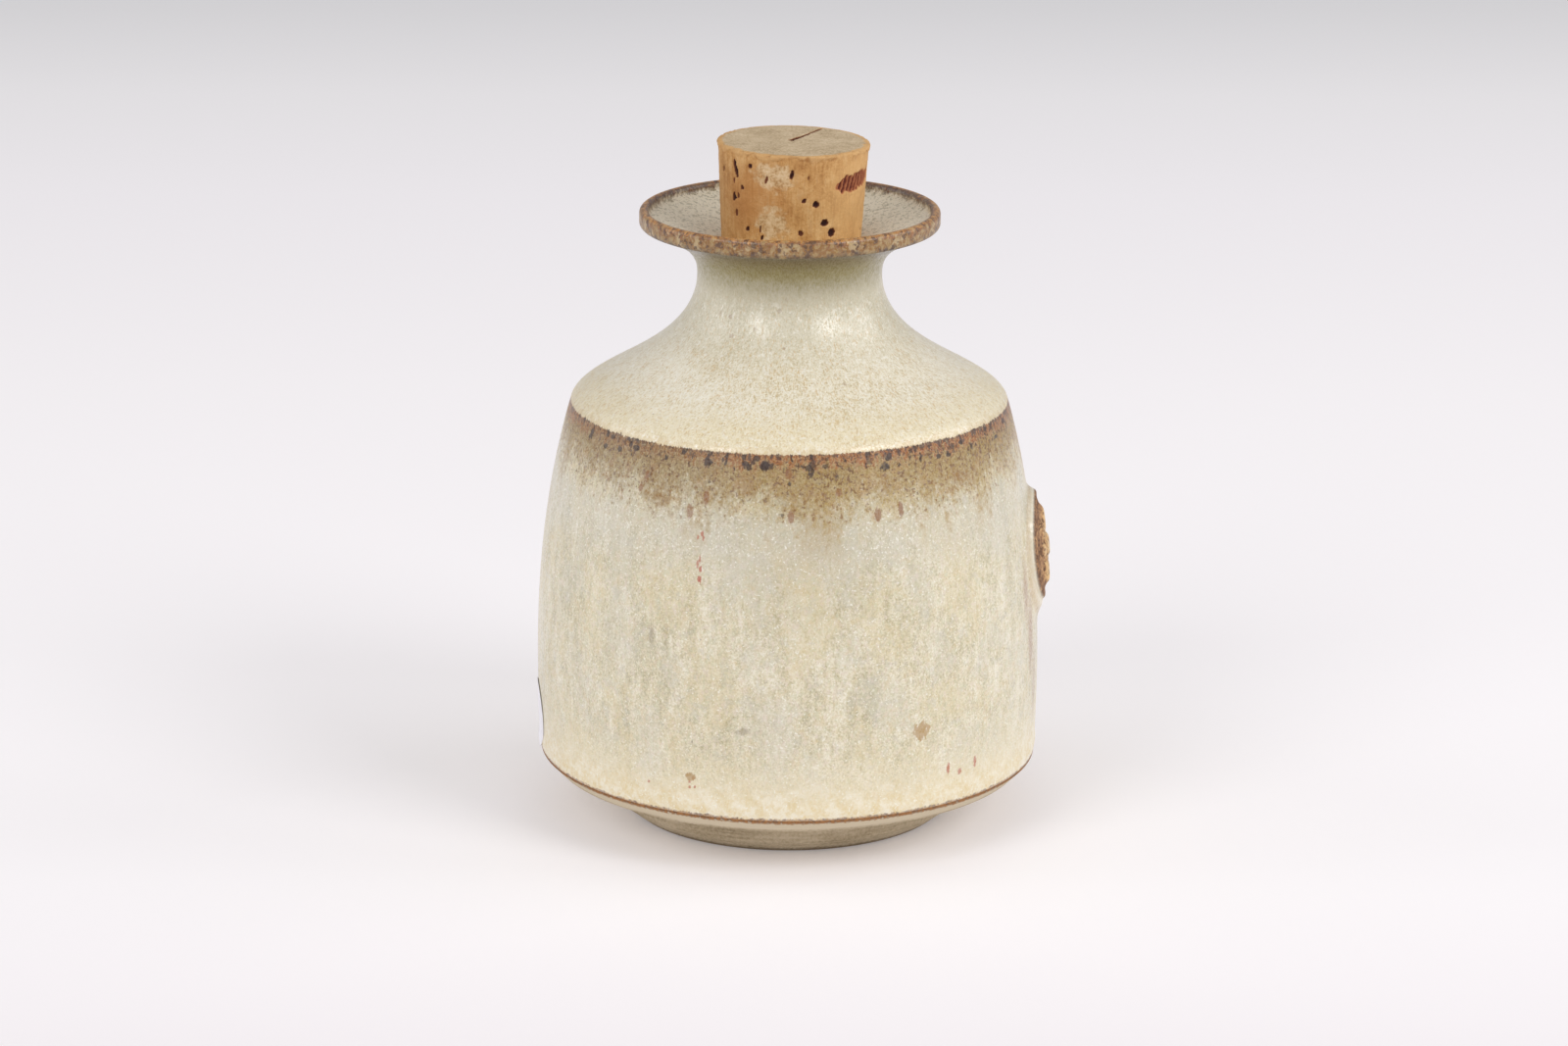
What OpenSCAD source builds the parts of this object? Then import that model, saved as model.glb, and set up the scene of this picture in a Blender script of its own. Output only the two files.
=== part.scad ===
// Stoneware bottle with a flared, dished mouth, a clay medallion on its side,
// a tapered cork stopper and a small round paper sticker.
// The axis of the bottle is +Z, its foot stands on Z = 0 and its front faces -Y.
// Angles round the wall are counted from the front, towards +X. Millimetres.

/* [Foot] */
// Diameter of the foot where it meets the table
foot_d = 58.6; // [52:0.2:64]
// Height of the bevel turned on the outside of the foot
foot_bevel_h = 2.7; // [1:0.1:3.5]
// How far the bevel leans out
foot_bevel_w = 3.4; // [1:0.1:4]
// Width of the foot ring
foot_ring_w = 5.6; // [4:0.1:10]
// Depth of the recess turned inside the foot ring
foot_recess = 3.4; // [2:0.1:3.8]
// Height of the foot up to the underside of the body
foot_h = 6; // [5:0.1:9]

/* [Body] */
// Diameter at the lower edge of the glazed wall
base_d = 92.6; // [86:0.2:100]
// Height of the wall's lower edge above the top of the foot
base_rise = 5.2; // [4.5:0.1:8]
// Width of the bevel trimmed under the lower edge
base_bevel = 2.2; // [1:0.1:3]
// Outward lean of the wall where it leaves the lower edge, in degrees
base_lean = 3.2; // [0:0.1:8]
// Height of the wall from its lower edge to the shoulder edge
wall_h = 67.4; // [55:0.1:90]
// Diameter at the crisp shoulder edge
shoulder_d = 80.8; // [74:0.2:86]
// Inward lean of the wall where it reaches the shoulder edge, in degrees
shoulder_lean = 16.5; // [8:0.1:22]
// Thickness of the thrown wall
wall_t = 4.5; // [3:0.1:6]
// Thickness of the floor
floor_t = 7; // [6:0.1:9]

/* [Neck and mouth] */
// Height from the shoulder edge to the narrowest place of the neck
neck_rise = 23.6; // [21:0.1:28]
// Thickness of clay round the stopper at the narrowest place
neck_wall = 4.5; // [3.5:0.1:6]
// Steepness of the shoulder just above its edge, in degrees
shoulder_steep = 68; // [55:1:75]
// How far the round of the shoulder reaches in from its edge
shoulder_round = 4.9; // [3:0.1:7]
// Height from the narrowest place of the neck to the rim
mouth_rise = 12; // [11:0.1:15]
// Diameter over the rim
rim_d = 55.2; // [51:0.2:62]
// Height of the upright band round the rim
rim_band = 3.6; // [2.6:0.1:4]
// Thickness of the rim's rounded crest
rim_t = 1.76; // [1.4:0.02:2.4]
// Depth of the dished mouth, from the rim to the top of the throat
dish_depth = 6.5; // [5.5:0.1:7.5]

/* [Stopper] */
// Diameter of the cork at its top
cork_top_d = 27.6; // [25:0.1:29]
// Diameter of the cork at its bottom
cork_bottom_d = 24; // [22:0.1:24.8]
// Length of the cork
cork_len = 32; // [28:0.5:36]
// How far the cork stands above the rim
cork_stand = 12.5; // [8:0.1:14]
// Lean of the cork and its seat towards +X, in degrees
cork_lean = 1.2; // [0:0.1:2]
// Chamfer round the cork's ends
cork_edge = 0.5; // [0.2:0.1:1]
// Radial clearance of the cork in its seat
cork_fit = 0.05; // [0.02:0.01:0.15]
// Length of the tapered seat in the throat
seat_len = 10; // [8:0.1:11]

/* [Medallion] */
// Diameter of the clay medallion
medal_d = 21.3; // [16:0.1:24]
// Place of the medallion round the wall, in degrees from the front
medal_angle = 87.5; // [0:0.5:180]
// Height of the medallion's centre above the lower edge of the wall
medal_rise = 39.8; // [25:0.1:50]
// Thickness of the medallion's field
medal_field_t = 1.9; // [1:0.05:2.5]
// Height of the raised border above the field
medal_border_h = 0.5; // [0.2:0.05:1]
// Width of the raised border
medal_border_w = 1.5; // [1:0.1:2.5]
// Number of petals pressed in the medallion
petals = 8; // [5:1:10]
// Height of the petals above the field
petal_h = 0.9; // [0.3:0.05:1.2]
// Length of a petal
petal_len = 5; // [3:0.1:6]
// Width of a petal
petal_w = 2.4; // [1.5:0.1:2.6]
// Diameter of the boss at the centre
boss_d = 4.4; // [3.5:0.1:5]
// Height of the boss above the field
boss_h = 1.5; // [0.5:0.05:1.8]

/* [Paper dot] */
// Diameter of the paper sticker
dot_d = 13; // [8:0.5:20]
// Thickness of the paper
dot_t = 0.12; // [0.1:0.01:0.3]
// Thickness of the gum that holds it
dot_gum = 0.02; // [0.01:0.01:0.05]
// Place of the sticker round the wall, in degrees from the front
dot_angle = -85; // [-180:0.1:0]
// Height of the sticker's lower side above the lower edge of the wall
dot_rise = 0.6; // [0.4:0.1:30]

/* [Hidden] */
$fn = 96;

// Heights up the axis
base_z = foot_h + base_rise;
shoulder_z = base_z + wall_h;
neck_z = shoulder_z + neck_rise;
rim_z = neck_z + mouth_rise;
throat_z = rim_z - dish_depth;
seat_z = throat_z - seat_len;
cork_top_z = rim_z + cork_stand;
cork_bottom_z = cork_top_z - cork_len;
floor_z = foot_recess + floor_t;
medal_z = base_z + medal_rise;
dot_z = base_z + dot_rise + dot_d / 2;

// Radii
foot_r = foot_d / 2;
base_r = base_d / 2;
shoulder_r = shoulder_d / 2;
rim_r = rim_d / 2;
crest_r = rim_t / 2;
cork_slope = (cork_top_d - cork_bottom_d) / 2 / cork_len;
throat_r = seat_r(throat_z);
neck_r = seat_r(neck_z) + neck_wall;

// Steps along a curve
wall_steps = 24;
curve_steps = 14;
round_steps = 8;

// Cove where the foot meets the body: how far its side swells above the bevel, its reach and its rise
foot_swell = 0.5;
cove_reach = 2.4;
cove_rise = 0.4;

// Round under the rim's band: its turn in degrees, and where the flange ends below it
band_turn = 60;
flange_in = 1.4;
flange_drop = 0.38;

// Lip inside the rim: its straight part, and how far in and down the dish begins
lip_drop = 0.3;
dish_in = 1.9;
dish_start = 2.3;

// Rounded edge at the top of the throat: its height and its width
throat_edge_h = 0.56;
throat_edge_w = 0.8;

// Control points of the curves, as shares of the way across and up between their ends
cove_bend = [[0.08, 0.66], [0.42, 0.83]];
mouth_bend = [[0, 0.54], [0.38, 0.75]];
lip_bend = [[0.05, 0.47], [0.37, 0.61]];
dish_bend = [[0.38, 0.38], [0.71, 0.6]];
throat_bend = [[0.5, 0.43], [1, 0.71]];
neck_bend = [[0, 0.37], [1, 0.63]];
floor_bend = [[0, 0.68], [0.36, 1]];

// Space between the medallion's boss and its petals
petal_gap = 0.4;

// Where the inside's even wall ends: wall thicknesses below the shoulder, and a share of the wall's height
inner_top = 1.6;
inner_low = 0.2;

// Slope of the recess in the foot, across for each millimetre up
recess_slope = 0.5;

// Share of the neck's rise over which its outside turns upright
neck_upright = 0.59;

// Spare length of the blocks that cut the medallion and the sticker from the wall
spare = 1;

// Radius of the seat at height z, which follows the cork's own taper
function seat_r(z) = cork_bottom_d / 2 + cork_slope * (z - cork_bottom_z) + cork_fit;

// Point at t on a cubic curve with four control points
function cubic(p, t) =
    pow(1 - t, 3) * p[0] + 3 * pow(1 - t, 2) * t * p[1] + 3 * (1 - t) * t * t * p[2] + t * t * t * p[3];

// The whole of that curve in n steps
function curve(p, n = curve_steps) = [for (i = [0:n]) cubic(p, i / n)];

// Curve between two points, with its control points at shares of the way across and up
function bend(from, to, shares, n = curve_steps) =
    curve([
        from,
        [for (k = [0, 1]) from[k] + shares[0][k] * (to[k] - from[k])],
        [for (k = [0, 1]) from[k] + shares[1][k] * (to[k] - from[k])],
        to
    ], n);

// Arc about c from angle a to angle b
function arc(c, r, a, b) =
    [for (i = [0:round_steps]) let (t = a + (b - a) * i / round_steps) c + r * [cos(t), sin(t)]];

// Outline of the outer wall, with its control points at even heights, so that height runs with t
wall_curve = [
    [base_r, base_z],
    [base_r + wall_h / 3 * tan(base_lean), base_z + wall_h / 3],
    [shoulder_r + wall_h / 3 * tan(shoulder_lean), base_z + 2 * wall_h / 3],
    [shoulder_r, shoulder_z]
];

// Outer radius of the wall at height z
function wall_r(z) = cubic(wall_curve, (z - base_z) / wall_h)[0];

// Stations up the wall, from one share of its height to another
function stations(from, to) =
    [for (i = [ceil(from * wall_steps):floor(to * wall_steps)]) base_z + wall_h * i / wall_steps];

// Outline of the outside, from the foot up to the crest of the rim
bevel_r = foot_r + foot_bevel_w;
cove_r = bevel_r + foot_swell;
cove_z = (foot_bevel_h + foot_h) / 2 - cove_rise;
band_z = rim_z - rim_band;
crest_mid_r = rim_r - crest_r;
outside = concat(
    [[foot_r - foot_ring_w, 0], [foot_r, 0], [bevel_r, foot_bevel_h]],
    bend([cove_r, cove_z], [cove_r + cove_reach, foot_h + cove_rise], cove_bend, round_steps),
    [[base_r - base_bevel, base_z - base_bevel]],
    [for (z = stations(0, 1)) [wall_r(z), z]],
    curve([
        [shoulder_r, shoulder_z],
        [shoulder_r, shoulder_z] + shoulder_round * [-cos(shoulder_steep), sin(shoulder_steep)],
        [neck_r, neck_z - neck_rise * neck_upright],
        [neck_r, neck_z]
    ], 2 * curve_steps),
    bend([neck_r, neck_z], [rim_r - flange_in, band_z], mouth_bend),
    arc([crest_mid_r, band_z + flange_drop + crest_r * sin(band_turn)], crest_r, -band_turn, 0),
    arc([crest_mid_r, rim_z - crest_r], crest_r, 0, 180)
);

// The same points in the other order
function backwards(points) = [for (i = [len(points) - 1:-1:0]) points[i]];

// Outline of the inside, from the crest of the rim down the dish and the throat to the floor
lip_r = rim_r - rim_t;
dish_edge = [lip_r - dish_in, rim_z - dish_start];
throat_top = [throat_r + throat_edge_w, throat_z + throat_edge_h];
inner_top_z = shoulder_z - inner_top * wall_t;
inner_top_r = wall_r(inner_top_z) - wall_t;
inner_low_z = base_z + inner_low * wall_h;
inner_low_r = wall_r(inner_low_z) - wall_t;
inside = concat(
    bend([lip_r, rim_z - crest_r - lip_drop], dish_edge, lip_bend, round_steps),
    bend(dish_edge, throat_top, dish_bend),
    bend(throat_top, [throat_r, throat_z], throat_bend, round_steps),
    bend([seat_r(seat_z), seat_z], [inner_top_r, inner_top_z], neck_bend, 2 * curve_steps),
    backwards([
        for (z = stations(0, 1))
            if (z > inner_low_z + spare && z < inner_top_z - spare) [wall_r(z) - wall_t, z]
    ]),
    bend([inner_low_r, inner_low_z], [foot_r, floor_z], floor_bend),
    [[0, floor_z]]
);

// Outline of the recess turned in the foot
recess = [
    [0, foot_recess],
    [foot_r - foot_ring_w - foot_recess * recess_slope, foot_recess]
];

// Solid disc of the wall's outer form, grown outwards, between two heights
module wall_disc(grow, low, high) {
    rotate_extrude()
        polygon(concat(
            [[0, low], [wall_r(low) + grow, low]],
            [for (z = stations(0, 1)) if (z > low && z < high) [wall_r(z) + grow, z]],
            [[wall_r(high) + grow, high], [0, high]]
        ));
}

// Places an outline on the wall, facing out at an angle from the front and a height
module on_wall(angle, z) {
    rotate([0, 0, angle - 90])
        translate([base_r / 2, 0, z])
            rotate([0, 90, 0])
                linear_extrude(base_r) children();
}

// Layer of clay that follows the wall, cut to the outline given
module sprig(grow) {
    reach = medal_d / 2 + spare;
    intersection() {
        wall_disc(grow, medal_z - reach, medal_z + reach);
        on_wall(medal_angle, medal_z) children();
    }
}

// Outline of one petal, between two arcs, pointing away from the centre
module petal() {
    bow = (petal_len * petal_len + petal_w * petal_w) / (4 * petal_w);
    shift = bow - petal_w / 2;
    translate([boss_d / 2 + petal_gap + petal_len / 2, 0])
        intersection() {
            translate([0, shift]) circle(bow);
            translate([0, -shift]) circle(bow);
        }
}

// Medallion: a disc of clay with a raised border, a ring of petals and a boss
module medallion() {
    sprig(medal_field_t) circle(d = medal_d);
    sprig(medal_field_t + medal_border_h)
        difference() {
            circle(d = medal_d);
            circle(d = medal_d - 2 * medal_border_w);
        }
    sprig(medal_field_t + petal_h)
        for (i = [0:petals - 1]) rotate(360 * i / petals) petal();
    sprig(medal_field_t + boss_h) circle(d = boss_d);
}

// Turns what the cork and its seat share to their common lean
module leaning() {
    translate([0, 0, seat_z]) rotate([0, cork_lean, 0]) translate([0, 0, -seat_z]) children();
}

// Space that the cork is pressed into, from the foot of the seat to the rounded edge of the throat
module seat() {
    top_z = throat_z + throat_edge_w;
    translate([0, 0, seat_z])
        cylinder(h = top_z - seat_z, r1 = seat_r(seat_z), r2 = seat_r(top_z));
}

// Thrown bottle with its medallion, fired as one piece of stoneware
module bottle() {
    color("#d6cfb6")
        union() {
            difference() {
                rotate_extrude() polygon(concat(recess, outside, inside));
                leaning() seat();
            }
            difference() {
                medallion();
                wall_disc(-wall_t / 2, medal_z - medal_d, medal_z + medal_d);
            }
        }
}

// Tapered cork pushed into the throat
module cork_stopper() {
    bottom_r = cork_bottom_d / 2;
    top_r = cork_top_d / 2;
    color("#c89a62")
        leaning()
            translate([0, 0, cork_bottom_z])
                rotate_extrude()
                    polygon([
                        [0, 0],
                        [bottom_r - cork_edge, 0],
                        [bottom_r + cork_edge * cork_slope, cork_edge],
                        [top_r - cork_edge * cork_slope, cork_len - cork_edge],
                        [top_r - cork_edge, cork_len],
                        [0, cork_len]
                    ]);
}

// Round paper sticker, gummed to the wall
module price_dot() {
    reach = min(dot_d / 2 + spare, dot_z - base_z);
    color("#f6f6f3")
        intersection() {
            difference() {
                wall_disc(dot_gum + dot_t, dot_z - reach, dot_z + reach);
                wall_disc(dot_gum, dot_z - reach, dot_z + reach);
            }
            on_wall(dot_angle, dot_z) circle(d = dot_d);
        }
}

bottle();
cork_stopper();
price_dot();
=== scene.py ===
"""A stoneware bottle with a cork stopper and a paper dot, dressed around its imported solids."""

import math

import bmesh
import bpy
import numpy as np
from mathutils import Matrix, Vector, noise
from mathutils.bvhtree import BVHTree


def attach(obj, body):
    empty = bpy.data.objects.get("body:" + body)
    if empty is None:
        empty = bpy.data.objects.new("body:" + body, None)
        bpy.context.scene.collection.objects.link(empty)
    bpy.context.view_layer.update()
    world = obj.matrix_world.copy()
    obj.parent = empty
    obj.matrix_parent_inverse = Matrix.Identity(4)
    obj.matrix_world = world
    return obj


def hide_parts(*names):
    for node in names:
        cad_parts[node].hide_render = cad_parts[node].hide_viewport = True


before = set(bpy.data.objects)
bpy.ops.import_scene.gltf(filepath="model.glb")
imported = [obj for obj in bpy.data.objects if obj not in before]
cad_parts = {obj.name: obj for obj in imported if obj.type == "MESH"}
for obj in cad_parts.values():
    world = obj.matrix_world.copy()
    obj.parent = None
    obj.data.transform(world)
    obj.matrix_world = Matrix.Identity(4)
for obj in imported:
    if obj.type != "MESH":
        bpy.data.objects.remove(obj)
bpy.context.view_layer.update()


# Camera
# It stands where the photographer stood, almost a metre off with a long lens, looking down a
# little at the front of the bottle. The bottle's axis leans a hair to the right in the picture.
CAMERA_BACK = 0.930
CAMERA_HEIGHT = 0.3243
CAMERA_ASIDE = -0.00083
CAMERA_DOWN = 16.2
CAMERA_ROLL = 0.26
LENS = 119.4

lens_data = bpy.data.cameras.new("camera")
lens_data.lens = LENS
lens_data.sensor_width = 36
camera = bpy.data.objects.new("camera", lens_data)
camera.location = (CAMERA_ASIDE, -CAMERA_BACK, CAMERA_HEIGHT)
camera.rotation_mode = "ZXY"
camera.rotation_euler = (math.radians(90 - CAMERA_DOWN), 0, math.radians(CAMERA_ROLL))
bpy.context.scene.collection.objects.link(camera)
bpy.context.scene.camera = camera


# Bottle
# Thrown stoneware in one piece with its foot, neck, dished mouth and the clay medallion that was
# pressed on before the firing. Cream glaze covers it down to a trimmed edge above the bare foot,
# and iron in the clay bleeds through where the glaze runs thin: under the shoulder and on the rim.
MM = 0.001
BASE_Z = 11.2
SHOULDER_Z = 78.6
SEAT_Z = 97.7
THROAT_Z = 107.7
MOUTH_Z = 108
WALL_LEAST_RADIUS = 38
CORK_LEAN = math.radians(1.2)
MEDAL_ANGLE = math.radians(87.5)
MEDAL_Z = 51.0
MEDAL_RADIUS = 10.65
MEDAL_MARGIN = 2.6
MEDAL_RAY_FROM = 60
MEDAL_SAMPLES = ((0, 0), (-0.15, -0.12), (0.15, -0.12), (-0.15, 0.12), (0.15, 0.12))
MEDAL_ROUNDING = 0.9
MEDAL_ROUNDED_OVER = 2.2
MEDAL_PRESSED_FROM = 2.4
MEDAL_PRESSED_TO = 0.55
POOL_DEPTH = 0.35
POOL_DEPTH_BELOW = 0.75
POOL_REACH = 0.5
POOL_REACH_BELOW = 1.5
STRAY_OVAL = 0.10
STRAY_THREE = 0.06
SHOULDER_BEAD = 0.02
BASE_BEAD = 0.22
BASE_BEAD_UP = 1.6
BASE_BEAD_WIDTH = 1.3
BASE_CLIMB = 0.5
COLUMN_STEP = math.radians(1.8)
FINE_STEP = math.radians(0.42)
ROWS_AT_EDGES = 0.3
ROWS_AT_MEDAL = 0.36
ROWS_AT_FOOT = 0.5
ROWS_UNDER_FOOT = 2.0
ROWS_ELSEWHERE = 0.9
ROWS_IN_DISH = 0.4
ROWS_INSIDE = 3.0
FOOT_RECESS = 23
CORNER_TURN = 20


def section_of(node):
    """The half section of a CAD node at its back, as points (radius, height) in millimetres."""
    cut = bmesh.new()
    cut.from_mesh(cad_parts[node].data)
    bmesh.ops.remove_doubles(cut, verts=cut.verts[:], dist=1e-7)
    for across, clear in (((0, 1, 0), False), ((1, 0, 0), True)):
        everything = cut.verts[:] + cut.edges[:] + cut.faces[:]
        bmesh.ops.bisect_plane(
            cut, geom=everything, plane_co=(0, 0, 0), plane_no=across, clear_inner=True, clear_outer=clear
        )
    bmesh.ops.remove_doubles(cut, verts=cut.verts[:], dist=1e-6)
    chain = [min((v for v in cut.verts if v.co.y < 1e-6), key=lambda v: v.co.z)]
    seen = set(chain)
    while True:
        near = [e.other_vert(chain[-1]) for e in chain[-1].link_edges]
        near = [v for v in near if v not in seen]
        if not near:
            break
        chain.append(near[0])
        seen.add(near[0])
    points = np.array([(v.co.y, v.co.z) for v in chain]) / MM
    cut.free()
    return points


def resampled(points, spacing):
    """The same line with a point about every spacing(radius, height), and its corners kept."""
    points = points[np.r_[True, np.hypot(*np.diff(points, axis=0).T) > 1e-4]]
    steps = np.diff(points, axis=0)
    along = np.r_[0, np.cumsum(np.hypot(*steps.T))]
    heading = np.degrees(np.unwrap(np.arctan2(steps[:, 1], steps[:, 0])))
    corners = [i + 1 for i, turn in enumerate(np.abs(np.diff(heading))) if turn > CORNER_TURN]
    kept = []
    for first, last in zip([0] + corners, corners + [len(points) - 1]):
        at = along[first]
        while at < along[last] - 1e-6:
            here = [np.interp(at, along, points[:, k]) for k in (0, 1)]
            kept.append(here)
            at += spacing(*here)
            if along[last] - at < 0.4 * spacing(*here):
                break
    kept.append(points[-1])
    return np.array(kept)


def outer_spacing(radius, height):
    """Close rows where the form turns fast, and on the medallion's stretch of the wall."""
    if height > MOUTH_Z or abs(height - SHOULDER_Z) < 1.5:
        return ROWS_AT_EDGES
    if abs(height - MEDAL_Z) < MEDAL_RADIUS + MEDAL_MARGIN:
        return ROWS_AT_MEDAL
    if height < BASE_Z + 2:
        return ROWS_AT_FOOT if radius > FOOT_RECESS else ROWS_UNDER_FOOT
    return ROWS_ELSEWHERE


def inner_spacing(radius, height):
    return ROWS_IN_DISH if height > THROAT_Z else ROWS_INSIDE


section = section_of("bottle")
crest = int(section[:, 1].argmax())
outer = resampled(section[: crest + 1], outer_spacing)
inner = resampled(section[crest:], inner_spacing)
rows = np.vstack([outer, inner[1:]])[1:-1]
along = np.r_[0, np.cumsum(np.hypot(*np.diff(rows, axis=0).T))]
wall = (rows[:, 1] > BASE_Z) & (rows[:, 1] < SHOULDER_Z + 0.01) & (np.arange(len(rows)) < len(outer))
wall &= rows[:, 0] > WALL_LEAST_RADIUS
shoulder_row = int(np.flatnonzero(wall)[-1])
base_row = int(np.flatnonzero(wall)[0])
rim_row = len(outer) - 2
run = along - along[shoulder_row]
BASE_RUN = float(run[base_row])
RIM_RUN = float(run[rim_row])
glazed = outer[outer[:, 1] > BASE_Z]


def wall_radius(height):
    return np.interp(height, glazed[:, 1], glazed[:, 0])


def ramp(values, start, end):
    """0 at start, 1 at end and straight between, whichever of them is the lower."""
    return np.clip((values - start) / (end - start), 0, 1)


def stray(angle, height):
    """How far the thrown wall strays from a true round, dying out at the foot and the neck."""
    held = ramp(height, 13, 33) * ramp(height, 92, 78)
    oval = STRAY_OVAL * np.sin(2 * angle + height / 34)
    three_sided = STRAY_THREE * np.sin(3 * angle - height / 21 + 1.3)
    return held * (oval + three_sided)


def base_bead(above_base):
    """How far the bead of glaze stands out where the wall ends."""
    return BASE_BEAD * np.exp(-(((above_base - BASE_BEAD_UP) / BASE_BEAD_WIDTH) ** 2))


def closed_skin(name, rings):
    """A closed smooth mesh through rings of points in millimetres, with a point at each end."""
    count, around = rings.shape[:2]
    points = np.vstack([rings[0].mean(axis=0), rings.reshape(-1, 3), rings[-1].mean(axis=0)])
    index = 1 + np.arange(count * around).reshape(count, around)
    beside = np.roll(index, -1, axis=1)
    quads = np.stack([index[:-1], beside[:-1], beside[1:], index[1:]], axis=-1).reshape(-1, 4)
    last = len(points) - 1
    start = [(0, b, a) for a, b in zip(index[0], beside[0])]
    end = [(last, a, b) for a, b in zip(index[-1], beside[-1])]
    made = bpy.data.meshes.new(name)
    made.from_pydata((points * MM).tolist(), [], quads.tolist() + start + end)
    made.polygons.foreach_set("use_smooth", np.ones(len(made.polygons), bool))
    return made


def spread(mesh, name, rings):
    """Stores a number for each point of a closed skin, for the material to read by name."""
    values = np.concatenate([[rings[0].mean()], rings.ravel(), [rings[-1].mean()]])
    mesh.attributes.new(name, "FLOAT", "POINT").data.foreach_set("value", values.astype(np.float32))


def medallion_relief(angles):
    """How far the medallion stands off the wall at each row and column, softened by the glaze."""
    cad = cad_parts["bottle"].data
    skin = BVHTree.FromPolygons([v.co for v in cad.vertices], [p.vertices[:] for p in cad.polygons])
    far = MEDAL_RAY_FROM * MM
    relief = np.zeros((len(rows), len(angles)))
    reach = MEDAL_RADIUS + MEDAL_MARGIN
    for i in np.flatnonzero(wall & (np.abs(rows[:, 1] - MEDAL_Z) < reach)):
        radius, height = rows[i]
        for j in np.flatnonzero(np.abs(angles - MEDAL_ANGLE) * radius < reach):
            hits = []
            for turn, rise in MEDAL_SAMPLES:
                angle = angles[j] + turn / radius
                inward = Vector((-math.sin(angle), math.cos(angle), 0))
                top = Vector((0, 0, (height + rise) * MM))
                struck = skin.ray_cast(top - inward * far, inward)[3]
                hits.append((far - struck) / MM - wall_radius(height + rise))
            relief[i, j] = max(0.0, sum(hits) / len(hits))
    for axis in (0, 1, 0, 1):
        relief = (np.roll(relief, 1, axis) + 2 * relief + np.roll(relief, -1, axis)) / 4
    inside = MEDAL_RADIUS - np.hypot((angles - MEDAL_ANGLE) * rows[:, :1], rows[:, 1:] - MEDAL_Z)
    rounding = MEDAL_ROUNDING * np.exp(-((np.maximum(inside, 0) / MEDAL_ROUNDED_OVER) ** 2))
    pressed = MEDAL_PRESSED_TO * np.maximum(relief - MEDAL_PRESSED_FROM, 0)
    softened = np.minimum(relief, MEDAL_PRESSED_FROM) + pressed
    return np.maximum(softened - rounding, 0.3 * relief)


def glaze_pool(angles):
    """The glaze that gathers round the medallion's edge, most of it below."""
    across = (angles[None, :] - MEDAL_ANGLE) * rows[:, :1]
    up = rows[:, 1:] - MEDAL_Z
    outside = np.hypot(across, up) - MEDAL_RADIUS
    below = 0.5 - 0.5 * up / np.maximum(np.hypot(across, up), 0.1)
    reach = POOL_REACH + POOL_REACH_BELOW * below ** 2
    depth = POOL_DEPTH + POOL_DEPTH_BELOW * below ** 2
    depth = depth * np.exp(-((np.maximum(outside, 0) / reach) ** 2))
    return np.where(wall[:, None] & (outside > -1.0), depth, 0)


reach = (MEDAL_RADIUS + MEDAL_MARGIN) / wall_radius(MEDAL_Z)
fine = np.arange(MEDAL_ANGLE - reach, MEDAL_ANGLE + reach, FINE_STEP)
left_over = 2 * math.pi - (fine[-1] - fine[0])
coarse_count = round(left_over / COLUMN_STEP)
coarse = fine[-1] + left_over * np.arange(1, coarse_count) / coarse_count
angles = np.concatenate([fine, coarse])

relief = np.maximum(medallion_relief(angles), glaze_pool(angles))
height = np.repeat(rows[:, 1:], len(angles), axis=1)
radius = rows[:, :1] + relief
outside = np.arange(len(rows))[:, None] <= rim_row
radius = radius + np.where(outside, stray(angles[None, :], height), 0)

# A bead of glaze sits above the shoulder's edge and another where the wall ends.
shoulder_bead = SHOULDER_BEAD * np.exp(-(((run - 1.0) / 0.8) ** 2))
radius = radius + base_bead(run - BASE_RUN)[:, None]
height = height + shoulder_bead[:, None]

# The trimmed base edge is not quite level: it climbs a little towards the left.
near_base = ramp(height, 26, 12) * ramp(height, 3, 10) * outside
height = height + BASE_CLIMB * near_base * np.maximum(-np.sin(angles), 0) ** 1.5

# The throat is cut to the cork, which leans, so its wall leans too from the seat up.
leaning = ramp(height, SEAT_Z, THROAT_Z) * math.tan(CORK_LEAN)
leaning = leaning * ramp(radius, 16, 13.5) * ~outside * (THROAT_Z - SEAT_Z)

rings = np.stack([radius * np.sin(angles) + leaning, -radius * np.cos(angles), height], axis=-1)
bottle_mesh = closed_skin("bottle_body", rings)
spread(bottle_mesh, "run", np.repeat(run[:, None], len(angles), axis=1))
spread(bottle_mesh, "relief", relief)

WRAP_RADIUS = 40


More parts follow.
